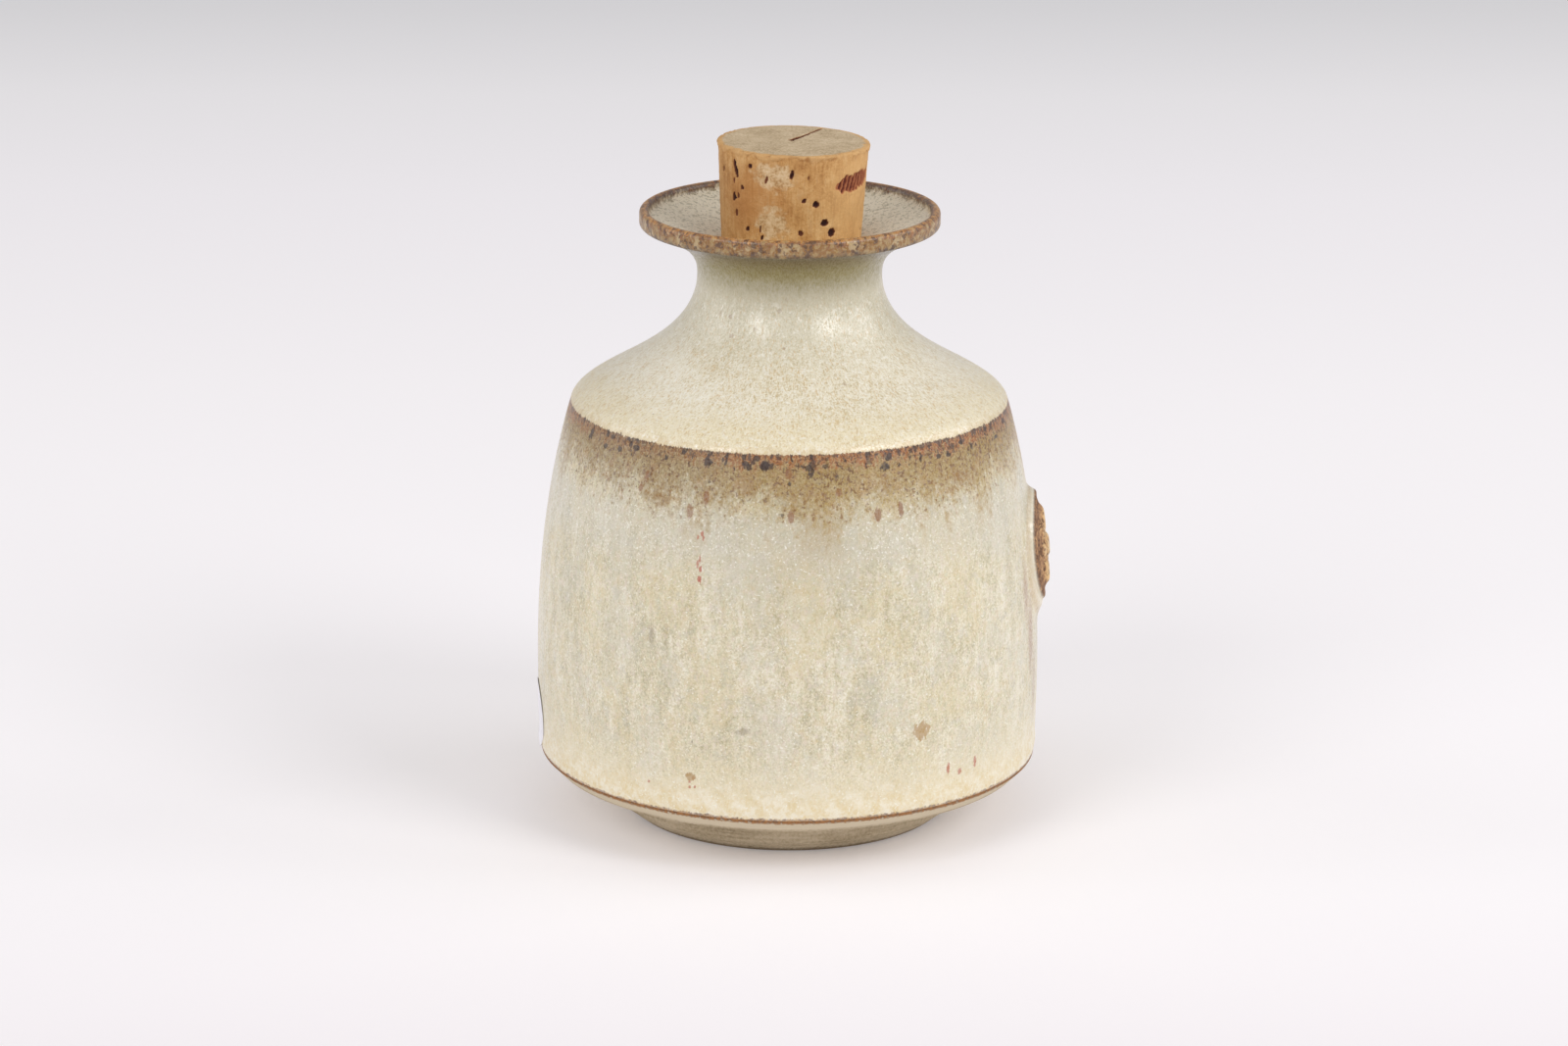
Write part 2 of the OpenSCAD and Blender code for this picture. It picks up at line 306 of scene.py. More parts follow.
class Value:
    """A socket of a material's nodes. Sums written with it add their own Math nodes."""

    def __init__(self, tree, socket):
        self.tree = tree
        self.socket = socket

    def node(self, kind, sockets, settings=None, stops=None, out=0):
        """Adds a node: its settings first, then its colour stops, then its sockets."""
        made = self.tree.nodes.new(kind)
        for name, value in (settings or {}).items():
            setattr(made, name, value)
        if stops:
            shown = made.color_ramp.elements
            shown.remove(shown[-1])
            shown[0].position, shown[0].color = stops[0]
            for at, colour in stops[1:]:
                shown.new(at).color = colour
        for name, value in sockets.items():
            if isinstance(value, Value):
                self.tree.links.new(value.socket, made.inputs[name])
            else:
                made.inputs[name].default_value = value
        return Value(self.tree, made.outputs[out])

    def maths(self, operation, *values):
        return self.node("ShaderNodeMath", dict(enumerate((self, *values))), {"operation": operation})

    def __add__(self, other):
        return self.maths("ADD", other)

    __radd__ = __add__

    def __mul__(self, other):
        return self.maths("MULTIPLY", other)

    __rmul__ = __mul__

    def __sub__(self, other):
        return self.maths("SUBTRACT", other)

    def __rsub__(self, other):
        return self.node("ShaderNodeMath", {0: other, 1: self}, {"operation": "SUBTRACT"})

    def largest(self, other):
        return self.maths("MAXIMUM", other)

    def step(self, low, high):
        """0 below low, 1 above high and smooth between, or the other way where high is the lower."""
        sockets = {"Value": self, "From Min": low, "From Max": high}
        return self.node("ShaderNodeMapRange", sockets, {"interpolation_type": "SMOOTHSTEP"})

    def shades(self, *stops):
        """A colour for each value, from stops of a value and its colour."""
        low, high = stops[0][0], stops[-1][0]
        places = [((at - low) / (high - low), colour) for at, colour in stops]
        return self.node("ShaderNodeValToRGB", {"Fac": (self - low) * (1 / (high - low))}, stops=places)

    def blend(self, first, second):
        """Mixes two colours by this value: the first at 0, the second at 1."""
        return self.node("ShaderNodeMix", {0: self, 6: first, 7: second}, {"data_type": "RGBA"}, out=2)

    def scaled(self, x, y, z):
        """This place with its sides scaled."""
        return self.node("ShaderNodeVectorMath", {0: self, 1: (x, y, z)}, {"operation": "MULTIPLY"})

    def distance(self, place):
        return self.node("ShaderNodeVectorMath", {0: self, 1: place}, {"operation": "DISTANCE"}, out=1)

    def noise(self, size, detail=2.0, rough=0.5):
        """Soft noise about 0.5 over this place, with spots about as large as size."""
        sockets = {"Vector": self, "Scale": 1 / size, "Detail": detail, "Roughness": rough}
        return self.node("ShaderNodeTexNoise", sockets)

    def ragged(self, size, depth):
        """This place pushed about by soft noise, which tears the outlines laid over it."""
        push = self.node("ShaderNodeTexNoise", {"Vector": self, "Scale": 1 / size, "Detail": 2.0}, out=1)
        sockets = {0: push, 1: (depth, depth, depth), 2: self}
        return self.node("ShaderNodeVectorMath", sockets, {"operation": "MULTIPLY_ADD"})

    def dots(self, size, share, radius):
        """Dots of all sizes in a share of cells of this size. The largest radius is given in cells."""
        cells = {"Vector": self, "Scale": 1 / size}
        chosen = self.node("ShaderNodeTexVoronoi", cells, out=1)
        away = self.node("ShaderNodeTexVoronoi", cells)
        reach = ((chosen - (1 - share)) * (1 / share)).largest(0).maths("POWER", 0.5) * radius
        return (reach - away).step(0, 0.1)

    def wrapped(self, run, stretch):
        """This place laid round a cylinder, with the stretched run along the section as its height."""
        flat = self.node("ShaderNodeVectorMath", {0: self.scaled(1, 1, 0)}, {"operation": "NORMALIZE"})
        rise = self.node("ShaderNodeCombineXYZ", {"Z": run * stretch})
        sockets = {0: flat, 1: (WRAP_RADIUS, WRAP_RADIUS, 0), 2: rise}
        return self.node("ShaderNodeVectorMath", sockets, {"operation": "MULTIPLY_ADD"})


def linear(red, green, blue):
    """A screen colour, 0 to 255, as the renderer's own."""
    return tuple(
        v / 12.92 if v <= 0.04045 else ((v + 0.055) / 1.055) ** 2.4
        for v in (red / 255, green / 255, blue / 255)
    ) + (1.0,)


def finish_of(name):
    """A new material, its shader node, and the place on the object in millimetres."""
    made = bpy.data.materials.new(name)
    made.use_nodes = True
    tree = made.node_tree
    shader = next(n for n in tree.nodes if n.type == "BSDF_PRINCIPLED")
    place = Value(tree, tree.nodes.new("ShaderNodeTexCoord").outputs["Object"])
    return made, shader, place.scaled(1 / MM, 1 / MM, 1 / MM)


def stored(place, name):
    """The number that spread() stored on the mesh under this name."""
    return place.node("ShaderNodeAttribute", {}, {"attribute_name": name}, out=2)


def feed(shader, **values):
    """Gives the shader its sockets, with a low line in a name for each space."""
    tree = shader.id_data
    for name, value in values.items():
        socket = shader.inputs[name.replace("_", " ")]
        if isinstance(value, Value):
            tree.links.new(value.socket, socket)
        else:
            socket.default_value = value


def bumps(height, strength, depth):
    """A normal from a height in millimetres, where depth is how far 1 of it rises."""
    return height.node("ShaderNodeBump", {"Strength": strength, "Distance": depth * MM, "Height": height})


# Colours of the glaze. Tones are pairs of a value and the colour there: a value of the noise that
# the tones are laid over, or a distance where a comment gives one.
WALL_TONES = ((0.37, linear(176, 166, 128)), (0.51, linear(217, 207, 175)), (0.63, linear(240, 234, 214)))
WALL_GREEN = linear(204, 202, 168)
WALL_ROSE = linear(222, 206, 188)
WALL_PAINTED_SHADE = linear(180, 166, 128)
WALL_YELLOW = linear(220, 205, 162)
WALL_GREY = linear(206, 201, 182)
WALL_WARM = linear(214, 192, 144)
WALL_COOL = linear(198, 194, 180)
WALL_COOL_BAND = linear(204, 200, 186)
STRAW = linear(232, 220, 186)
CREAM_TONES = ((0.42, linear(241, 232, 208)), (0.50, linear(233, 219, 184)), (0.58, linear(226, 204, 152)))
CRYSTAL = linear(246, 243, 230)
IRON_BROWN = linear(94, 60, 36)
IRON_BLACK = linear(46, 26, 20)
PAINTED_GLINT = linear(222, 198, 190)
STAIN = linear(174, 150, 104)
BLOTCH = linear(140, 104, 60)
PEPPER = linear(104, 68, 38)
IRON_TONES = (
    # millimetres below the shoulder's edge, colour
    (-0.2, linear(84, 54, 40)),
    (0.5, linear(162, 98, 46)),
    (1.7, linear(158, 112, 62)),
    (3.0, linear(152, 122, 56)),
    (10, linear(170, 142, 76)),
)
IRON_LEFT = linear(132, 106, 66)
IRON_WARM = linear(168, 124, 72)
IRON_COOL = linear(178, 164, 122)
IRON_PALE = linear(200, 180, 136)
IRON_DARK = linear(110, 80, 48)
SPECK_TONES = (
    # millimetres below the shoulder's edge, colour
    (0, linear(84, 48, 32)),
    (2.5, IRON_BROWN),
    (8, linear(134, 94, 50)),
)
TRIM_TONES = ((0.9, linear(110, 78, 54)), (1.08, linear(178, 136, 92)))
SHOULDER_TONES = ((0.40, linear(206, 190, 152)), (0.49, linear(238, 229, 204)), (0.58, linear(248, 243, 227)))
SHOULDER_WARM = linear(218, 194, 146)
SHOULDER_STRAW = linear(232, 214, 166)
SHOULDER_THIN = linear(204, 180, 134)
SHOULDER_WHITE = linear(250, 246, 234)
NECK_GREEN = linear(208, 201, 175)
NECK_TONES = ((0.38, linear(184, 176, 144)), (0.5, NECK_GREEN), (0.62, linear(226, 220, 198)))
NECK_OCHRE = linear(190, 164, 116)
NECK_FRECKLE = linear(204, 168, 106)
RIM_GREY = linear(142, 102, 50)
RIM_BROWN = linear(134, 84, 44)
MOUTH_AND_NECK_SHADE_TONES = (
    # millimetres past the rim's crest, inwards, and colour
    (-22, NECK_GREEN),
    # from here to the flange the neck darkens: partly thinner, browner glaze and partly painted shade
    (-15, linear(146, 134, 82)),
    (-9.0, linear(100, 80, 38)),
    (-5.0, linear(72, 52, 26)),
    (-3.9, linear(88, 62, 38)),
    (-3.2, linear(136, 108, 70)),
    (-2.6, RIM_GREY),
    (-1.5, RIM_GREY),
    (-0.9, RIM_BROWN),
    (0.0, linear(194, 136, 62)),
    (0.5, RIM_BROWN),
    (0.9, linear(96, 68, 46)),
    (1.5, linear(166, 148, 116)),
    (2.3, linear(232, 222, 198)),
)
RIM_PALE = linear(202, 182, 140)
RIM_GOLD = linear(206, 156, 92)
RIM_SPECK = linear(76, 48, 30)
RIM_DUST = linear(186, 164, 116)
RIM_CREST = linear(84, 54, 38)
DISH_OLIVE = linear(146, 136, 102)
DISH_BROWN = linear(122, 98, 68)
DISH_PALE = linear(236, 230, 212)
MEDAL_SIDE_GLAZE_AND_LIGHT = linear(240, 232, 210)
MEDAL_CREASE_SHADE = linear(198, 172, 132)
FACE_TONES = ((0.42, linear(110, 76, 54)), (0.54, linear(178, 136, 96)), (0.66, linear(226, 190, 138)))
FACE_SPECK = linear(78, 50, 38)
FACE_RAISED = linear(222, 204, 170)

# Places on the wall, by their angle from the front in degrees and their height. The reach of each
# is the distance from it, in millimetres, where it begins to show and where it is full.
PAINTED_WALL_SHADE_AT = (3, 60)
PAINTED_WALL_SHADE_REACH = (22, 5)
WARM_SIDE_AT = (22, 72)
WARM_SIDE_REACH = (62, 10)
IRON_LEFT_AT = (-42, 72)
IRON_LEFT_REACH = (32, 8)

# Bands of the glaze, in millimetres along its section: where each begins to show and is full.
STRAW_ABOVE_BASE = (15, 5)
CREAM_ABOVE_BASE = (8.0, 1.5)
COOL_FROM = (-9, -13)
COOL_TO = (-26, -16)
STAIN_BELOW_EDGE = (26, 9)
IRON_BELOW_EDGE = 7.8
BLOTCHES_BELOW_EDGE = (13, 4)
PEPPER_BELOW_EDGE = (15, 7)
STRAW_PAST_EDGE = (13, 3)
NECK_PAST_EDGE = (14, 32)
OCHRE_PAST_EDGE = (14, 28)
MOUTH_PAST_RIM = (-23, -17)
LIP_FROM = (-5.0, -4.0)
LIP_TO = (1.6, 0.8)
DISH_PAST_RIM = (0.8, 2.6)

# Marks in the glaze. Those of a kind with a loose outline are smeared, and the others are torn.
TORN_SIZE = 0.5
TORN_DEPTH = 0.45
SMEAR_SIZE = 1.6
SMEAR_DEPTH = 2.0
LOOSE_KINDS = ("ochre", "grey", "drip")
MARK_COLOURS = {
    "iron": IRON_BLACK,
    "rust": linear(138, 88, 48),
    "spot": linear(176, 142, 88),
    "ochre": linear(152, 116, 64),
    "drip": linear(172, 140, 112),
    "red": linear(178, 92, 64),
    "grey": linear(146, 132, 106),
}
SINGLE_MARKS = (
    # kind, angle, height, width, length, strength
    ("iron", -6, 76.5, 2.0, 2.0, 0.95),
    ("iron", -9, 77, 1.0, 1.0, 0.8),
    ("spot", 31, 27, 3.0, 3.5, 0.85),
    ("spot", -22, 19, 2.0, 1.5, 0.85),
    ("grey", -32, 45, 2.0, 5.0, 0.7),
    ("grey", -10, 29, 3.0, 2.0, 0.6),
    ("drip", 71, 46, 3.5, 16, 0.75),
    ("drip", 74, 37, 4.5, 20, 0.8),
    ("drip", 78, 27, 4.5, 18, 0.5),
)
STREWN_MARKS = (
    # kind, how many, then the ends of their angles, heights, widths, lengths and strengths
    ("ochre", 10, (-50, 55), (69, 73.5), (3.5, 7), (5, 6.5), (0.35, 0.6)),
    ("rust", 9, (-45, 45), (67, 75.5), (0.8, 1.5), (1.4, 4), (0.6, 0.8)),
    ("iron", 22, (-60, 75), (75.5, 77.8), (0.6, 1.8), (0.6, 1.8), (0.5, 0.9)),
    ("iron", 3, (-25, 25), (67, 74), (0.6, 0.8), (0.6, 0.8), (0.5, 0.8)),
    ("red", 8, (-22, -20), (54, 64), (0.45, 0.6), (1, 1.8), (0.7, 0.9)),
    ("red", 5, (-34, -20), (16, 19), (0.5, 0.7), (0.5, 0.7), (0.6, 0.8)),
    ("red", 3, (36, 50), (13.5, 19), (0.5, 1), (0.8, 3), (0.7, 0.8)),
)
STREWN_ON_NECK = (
    # as for the wall
    ("rust", 7, (-45, 45), (85, 103), (0.6, 1), (0.7, 1.6), (0.15, 0.4)),
    ("ochre", 2, (-45, 40), (93, 98), (1.2, 1.6), (2, 3), (0.4, 0.6)),
)
strewer = np.random.default_rng(4)


def strewn(kinds):
    """Marks at places and sizes drawn between the ends that their kind gives."""
    return [
        (kind, *(strewer.uniform(*ends) for ends in sizes))
        for kind, how_many, *sizes in kinds
        for _ in range(how_many)
    ]


def on_wall(angle, height):
    """A place on the wall, by its angle from the front in degrees and its height."""
    turn = math.radians(angle)
    out = float(wall_radius(height))
    return out * math.sin(turn), -out * math.cos(turn), height


glaze, glaze_shader, place = finish_of("cream_glaze")
run_up = stored(place, "run")
stands = stored(place, "relief")
streak = place.wrapped(run_up, 0.22).noise(4.0, 3, 0.6)
stroke = place.wrapped(run_up, 0.14).noise(0.6, 2)
cloud = place.scaled(1, 1, 0.6).noise(14)
grain = place.scaled(1, 1, 0.85).noise(0.36, 2, 0.7)
mottle = place.scaled(1, 1, 0.6).noise(1.4, 3, 0.65)
torn = place.ragged(TORN_SIZE, TORN_DEPTH)
smeared = place.scaled(1, 1, 0.8).ragged(SMEAR_SIZE, SMEAR_DEPTH).scaled(1, 1, 1.25)
spots = place.scaled(1, 1, 0.8).noise(0.8, 2, 0.6)
wall_tone = 0.34 * streak + 0.13 * stroke + 0.52 * grain + 0.30 * mottle + 0.12 * cloud - 0.20
colour = wall_tone.shades(*WALL_TONES)
# Painted shade: a darker patch at the front of the wall, where less light falls than on its sides.
painted_wall_shade = place.distance(on_wall(*PAINTED_WALL_SHADE_AT)).step(*PAINTED_WALL_SHADE_REACH) * (0.3 + streak)
colour = (painted_wall_shade * 0.40).blend(colour, WALL_PAINTED_SHADE)
warmth = place.ragged(3, 3).noise(2.6, 3, 0.7)
patches = place.scaled(1, 1, 0.7).noise(9, 2)
colour = (patches.step(0.52, 0.62) * 0.35).blend(colour, WALL_YELLOW)
colour = (patches.step(0.48, 0.38) * 0.35).blend(colour, WALL_GREY)
colour = (warmth.step(0.54, 0.66) * 0.35).blend(colour, WALL_WARM)
colour = (warmth.step(0.46, 0.36) * 0.35).blend(colour, WALL_COOL)
tint = place.scaled(1, 1, 0.7).noise(0.8, 2, 0.7)
colour = (tint.step(0.46, 0.34) * 0.5).blend(colour, WALL_GREEN)
colour = (tint.step(0.54, 0.66) * 0.5).blend(colour, WALL_ROSE)
above_base = run_up - BASE_RUN
straw_band = (above_base + 14 * (streak - 0.5)).step(*STRAW_ABOVE_BASE) * (0.4 + 0.9 * grain)
colour = (straw_band * 0.6).blend(colour, STRAW)
cream_band = above_base + 10 * (warmth - 0.5) + 6 * (mottle - 0.5) + 5 * (streak - 0.5)
cream_band = cream_band.step(*CREAM_ABOVE_BASE)
cream = (0.5 * warmth + 0.3 * spots + 0.2 * grain).shades(*CREAM_TONES)
colour = (cream_band * 0.85).blend(colour, cream)
cool = (run_up + 8 * (streak - 0.5)).step(*COOL_FROM) * run_up.step(*COOL_TO)
colour = (cool * 0.35).blend(colour, WALL_COOL_BAND)
crystals = (place.noise(0.42, 1) + 0.03 * cool).step(0.64, 0.72)
colour = (crystals * 0.7).blend(colour, CRYSTAL)
pins = torn.dots(2.4, 0.24, 0.15)
colour = (pins * 0.6).blend(colour, IRON_BROWN)

# Where the glaze thins under the shoulder, iron shows through and runs down in streaks.
below_edge = 0 - run_up
warm_side = place.distance(on_wall(*WARM_SIDE_AT)).step(*WARM_SIDE_REACH)
stain = cloud + 0.5 * streak + 0.4 * mottle
stain_cover = stain.step(0.96, 1.10) * below_edge.step(*STAIN_BELOW_EDGE)
colour = (stain_cover * 0.5).blend(colour, STAIN)
iron_reach = IRON_BELOW_EDGE + 3.0 * warm_side + 18 * (streak - 0.5) + 5 * (stroke - 0.5)
iron_reach = iron_reach + 8 * (cloud - 0.5) + 12 * (spots - 0.5) + 16 * (mottle - 0.5)
iron_cover = (below_edge - iron_reach).step(5.0, -5.0) * 0.90
iron_depth = below_edge + 4 * (stroke - 0.5) + 6 * (mottle - 0.5) + 5 * (spots - 0.5) + 2 * (grain - 0.5)
iron_colour = iron_depth.shades(*IRON_TONES)
deep_left = place.distance(on_wall(*IRON_LEFT_AT)).step(*IRON_LEFT_REACH) * 0.55
iron_colour = deep_left.blend(iron_colour, IRON_LEFT)
iron_colour = (warmth.step(0.52, 0.62) * below_edge.step(2, 4) * 0.4).blend(iron_colour, IRON_WARM)
iron_colour = (warmth.step(0.48, 0.38) * below_edge.step(2, 4) * 0.4).blend(iron_colour, IRON_COOL)
iron_colour = (grain.step(0.48, 0.64) * 0.35).blend(iron_colour, IRON_PALE)
iron_colour = (grain.step(0.50, 0.36) * 0.35).blend(iron_colour, IRON_DARK)
rust_cover = iron_depth.step(3.4, 1.4)
colour = iron_cover.largest(rust_cover).blend(colour, iron_colour)
blotches = (mottle + 0.5 * spots).step(0.80, 0.92)
blotches = blotches * (below_edge + 9 * (streak - 0.5)).step(*BLOTCHES_BELOW_EDGE)
colour = (blotches * 0.40).blend(colour, BLOTCH)
near_edge = below_edge.step(15, 0)
speck_level = 0.66 - 0.08 * near_edge - 0.30 * (cloud - 0.5)
specks = (spots + 0.15 * (grain - 0.5) - speck_level).step(0, 0.04) * near_edge.step(0.02, 0.12)
speck_colour = below_edge.shades(*SPECK_TONES)
colour = (specks * 0.75).blend(colour, speck_colour)
pepper = place.noise(0.6, 1).step(0.63, 0.69) * below_edge.step(*PEPPER_BELOW_EDGE)
colour = (pepper * 0.7).blend(colour, PEPPER)
drips = place.scaled(1, 1, 0.6).noise(1.5, 2, 0.6) + 0.15 * (grain - 0.5) - 0.68
drips = drips + 0.09 * below_edge.step(5.0, 1.0)
colour = (drips.step(0, 0.03) * below_edge.step(5.0, 3.5) * 0.8).blend(colour, IRON_BLACK)


def marked(colour, marks):
    """The colour with marks laid over it."""
    for kind, angle, at_height, width, length, strength in marks:
        loose = kind in LOOSE_KINDS
        push, over = (SMEAR_DEPTH, smeared) if loose else (TORN_DEPTH, torn)
        centre = Vector(on_wall(angle, at_height)) + Vector((push, push, push)) / 2
        spot = over.node("ShaderNodeVectorMath", {0: over, 1: centre}, {"operation": "SUBTRACT"})
        shape = spot.scaled(2 / width, 2 / width, 2 / length).distance((0, 0, 0))
        cover = (shape + 0.8 * (grain - 0.5)).step(1.15, 0.2 if loose else 0.7)
        if kind == "spot":
            cover = (shape + 2.4 * (spots - 0.5)).step(1.1, 0.85)
        if kind == "ochre":
            cover = cover * (0.35 + 0.65 * (0.6 * spots + 0.4 * mottle).step(0.46, 0.58))
        colour = (cover * strength).blend(colour, MARK_COLOURS[kind])
    return colour


colour = marked(colour, strewn(STREWN_MARKS))
colour = marked(colour, SINGLE_MARKS)
trim = (above_base + 0.9 * (mottle - 0.5) + 1.0 * (spots - 0.5)).step(0.5, 0.15)
colour = (trim * 0.85).blend(colour, (grain + spots).shades(*TRIM_TONES))
# Painted highlights: pale glints along the rounded edge just under the shoulder.
painted_glints = place.dots(0.5, 0.42, 0.42) * (below_edge + 1.2 * (mottle - 0.5)).step(1.2, 0.4)
painted_glints = painted_glints * cloud.step(0.46, 0.58)
colour = (painted_glints * 0.3).blend(colour, PAINTED_GLINT)

# The shoulder and neck carry thicker glaze, drawn in fine strokes down the slope.
hair = place.wrapped(run_up, 0.35).noise(0.32, 2, 0.6)
fleck_tone = 0.40 * grain + 0.30 * hair + 0.18 * mottle + 0.12 * cloud
shoulder_colour = fleck_tone.shades(*SHOULDER_TONES)
shoulder_colour = (warmth.step(0.54, 0.68) * 0.25).blend(shoulder_colour, SHOULDER_WARM)
neck_tone = 0.12 * streak + 0.42 * grain + 0.2 * hair + 0.12 * cloud + 0.14 * mottle
neck_colour = neck_tone.shades(*NECK_TONES)
shoulder_colour = (run_up.step(*STRAW_PAST_EDGE) * 0.42).blend(shoulder_colour, SHOULDER_STRAW)
shoulder_colour = run_up.step(*NECK_PAST_EDGE).blend(shoulder_colour, neck_colour)
thin_edge = (run_up + 3 * (mottle - 0.5)).step(1.6, 0.2)
shoulder_colour = (thin_edge * 0.5).blend(shoulder_colour, SHOULDER_THIN)
ochre = place.wrapped(run_up, 0.2).noise(1.6, 3, 0.6).step(0.60, 0.72) * run_up.step(*OCHRE_PAST_EDGE)
shoulder_colour = (ochre * 0.5).blend(shoulder_colour, NECK_OCHRE)
freckles = place.wrapped(run_up, 0.6).noise(0.5, 2, 0.7) + 0.3 * (warmth - 0.5)
shoulder_colour = (freckles.step(0.55, 0.68) * 0.55).blend(shoulder_colour, NECK_FRECKLE)
shoulder_colour = (tint.step(0.56, 0.68) * 0.5).blend(shoulder_colour, SHOULDER_WHITE)
shoulder_colour = (pins * 0.5).blend(shoulder_colour, IRON_BROWN)
shoulder_colour = marked(shoulder_colour, strewn(STREWN_ON_NECK))
edge_line = run_up + 0.4 * (stroke - 0.5) + 0.7 * (mottle - 0.5) + 0.9 * (hair - 0.5)
colour = edge_line.step(-0.12, 0.12).blend(colour, shoulder_colour)

# On the rim the glaze draws back to brown, and the dish holds a greyer coat.
past_rim = run_up - RIM_RUN
rim_depth = past_rim + 4 * (mottle - 0.5) + 3 * (spots - 0.5) + 1.5 * (grain - 0.5)
# Under the flange the neck is painted darker: partly browner thin glaze, partly painted shade.
mouth_colour = rim_depth.shades(*MOUTH_AND_NECK_SHADE_TONES)
rim_patches = place.ragged(1.2, 1.2).noise(2.2, 3, 0.65)
pale_rim = rim_patches.step(0.50, 0.62) * past_rim.step(-3.8, -2.8) * past_rim.step(-0.5, -1.3)
mouth_colour = (pale_rim * 0.55).blend(mouth_colour, RIM_PALE)
golden = rim_patches.step(0.50, 0.40) * past_rim.step(-1.2, -0.5) * past_rim.step(1.0, 0.4)
mouth_colour = (golden * 0.5).blend(mouth_colour, RIM_GOLD)
on_lip = past_rim.step(*LIP_FROM) * past_rim.step(*LIP_TO)
rim_grain = place.noise(1.2, 2, 0.6)
mouth_colour = (rim_grain.step(0.54, 0.62) * on_lip * 0.75).blend(mouth_colour, RIM_SPECK)
mouth_colour = (rim_grain.step(0.46, 0.38) * on_lip * 0.4).blend(mouth_colour, RIM_DUST)
crest_line = past_rim.step(0.0, 0.5) * past_rim.step(1.4, 0.9) * rim_patches.step(0.62, 0.5)
mouth_colour = (crest_line * 0.6).blend(mouth_colour, RIM_CREST)
in_dish = past_rim.step(*DISH_PAST_RIM)
mouth_colour = (spots.step(0.50, 0.36) * in_dish * 0.7).blend(mouth_colour, DISH_OLIVE)
mouth_colour = (spots.step(0.62, 0.68) * in_dish * 0.6).blend(mouth_colour, DISH_BROWN)
mouth_colour = (grain.step(0.48, 0.62) * in_dish * 0.5).blend(mouth_colour, DISH_PALE)
colour = past_rim.step(*MOUTH_PAST_RIM).blend(colour, mouth_colour)

# The medallion's face was wiped back to the clay; its side kept the glaze and gets painted light.
face = place.distance(on_wall(math.degrees(MEDAL_ANGLE), MEDAL_Z)).step(10.6, 9.9) * stands.step(1.0, 1.35)
face_tone = 0.5 * mottle + 0.4 * grain + 0.2 * stands.step(1.4, 2.8)
side = stands.step(0.3, 0.8)
# The side is painted pale, partly for its glaze and partly as painted light on the side.
colour = (side * 0.6).blend(colour, MEDAL_SIDE_GLAZE_AND_LIGHT)
face_colour = face_tone.shades(*FACE_TONES)
face_colour = (spots.step(0.54, 0.60) * 0.75).blend(face_colour, FACE_SPECK)
face_colour = (stands.step(2.4, 2.9) * mottle.step(0.4, 0.5) * 0.7).blend(face_colour, FACE_RAISED)
# Painted shade in the crease where the medallion's side meets the wall.
crease_shade = stands.step(0.05, 0.3) * stands.step(1.2, 0.5)
colour = (crease_shade * 0.5).blend(colour, MEDAL_CREASE_SHADE)
colour = face.blend(colour, face_colour)

gloss = 0.40 + 0.12 * (mottle - 0.5) + 0.5 * (grain - 0.5) + 0.45 * face
surface = 0.6 * grain + 0.3 * mottle + 0.25 * streak + 0.25 * stroke + 0.35 * hair
iron_here = iron_depth.step(8, 2) * run_up.step(0.5, 0)
wet = place.wrapped(run_up, 0.7).noise(0.5, 3, 0.8).step(0.41, 0.55) * (1 - face)
wet = wet * (1 - 0.6 * iron_here.largest(past_rim.step(-5, -3.5)))
feed(
    glaze_shader,
    Base_Color=colour,
    Roughness=gloss,
    Normal=bumps(surface, 0.6, 0.3),
    Specular_IOR_Level=0.5,
    Coat_Weight=wet,
    Coat_Roughness=0.31,
    Coat_IOR=2.0,
)

# Bare clay shows on the foot and under it, sandy and flecked with iron.
FOOT_TONES = ((0.36, linear(156, 140, 112)), (0.5, linear(186, 170, 142)), (0.64, linear(206, 191, 165)))
FOOT_BELOW = linear(208, 194, 168)
FOOT_LINE_TONES = ((0.42, linear(108, 74, 48)), (0.56, linear(160, 114, 72)))
FOOT_BOTTOM_DARK = linear(112, 94, 70)
FOOT_FLECK = linear(74, 56, 44)

clay, clay_shader, place = finish_of("bare_clay")
above_base = stored(place, "run") - BASE_RUN
grit = place.noise(0.6, 3, 0.7)
patch = place.noise(9)
lathe = place.scaled(0.05, 0.05, 1).noise(0.45, 2)
clay_tone = 0.5 * grit + 0.3 * patch + 0.3 * lathe - 0.05
clay_colour = clay_tone.shades(*FOOT_TONES)
clay_colour = (above_base + 0.8 * (patch - 0.5)).step(-3.4, -2.6).blend(clay_colour, FOOT_BELOW)
line = (above_base + 2.4 * (grit - 0.5)).step(-1.1, -0.3)
clay_colour = line.blend(clay_colour, grit.shades(*FOOT_LINE_TONES))
# Darker at the very bottom of the foot, where it meets the floor.
foot_bottom = place.node("ShaderNodeSeparateXYZ", {0: place}, out=2) + 1.5 * (grit - 0.5)
clay_colour = (foot_bottom.step(1.2, 0.3) * 0.7).blend(clay_colour, FOOT_BOTTOM_DARK)
clay_colour = (place.dots(1.5, 0.08, 0.22) * 0.8).blend(clay_colour, FOOT_FLECK)
feed(
    clay_shader,
    Base_Color=clay_colour,
    Roughness=0.8 + 0.2 * (grit - 0.5),
    Normal=bumps(grit + 0.8 * lathe, 0.6, 0.25),
    Specular_IOR_Level=0.3,
)

bottle_mesh.materials.append(glaze)
bottle_mesh.materials.append(clay)
bare = np.zeros(len(bottle_mesh.polygons), np.int32)
bare[: base_row * len(angles)] = 1
bare[(len(rows) - 1) * len(angles) : len(rows) * len(angles)] = 1
bottle_mesh.polygons.foreach_set("material_index", bare)
bottle = bpy.data.objects.new("bottle_body", bottle_mesh)
bpy.context.scene.collection.objects.link(bottle)
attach(bottle, "root")
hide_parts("bottle")


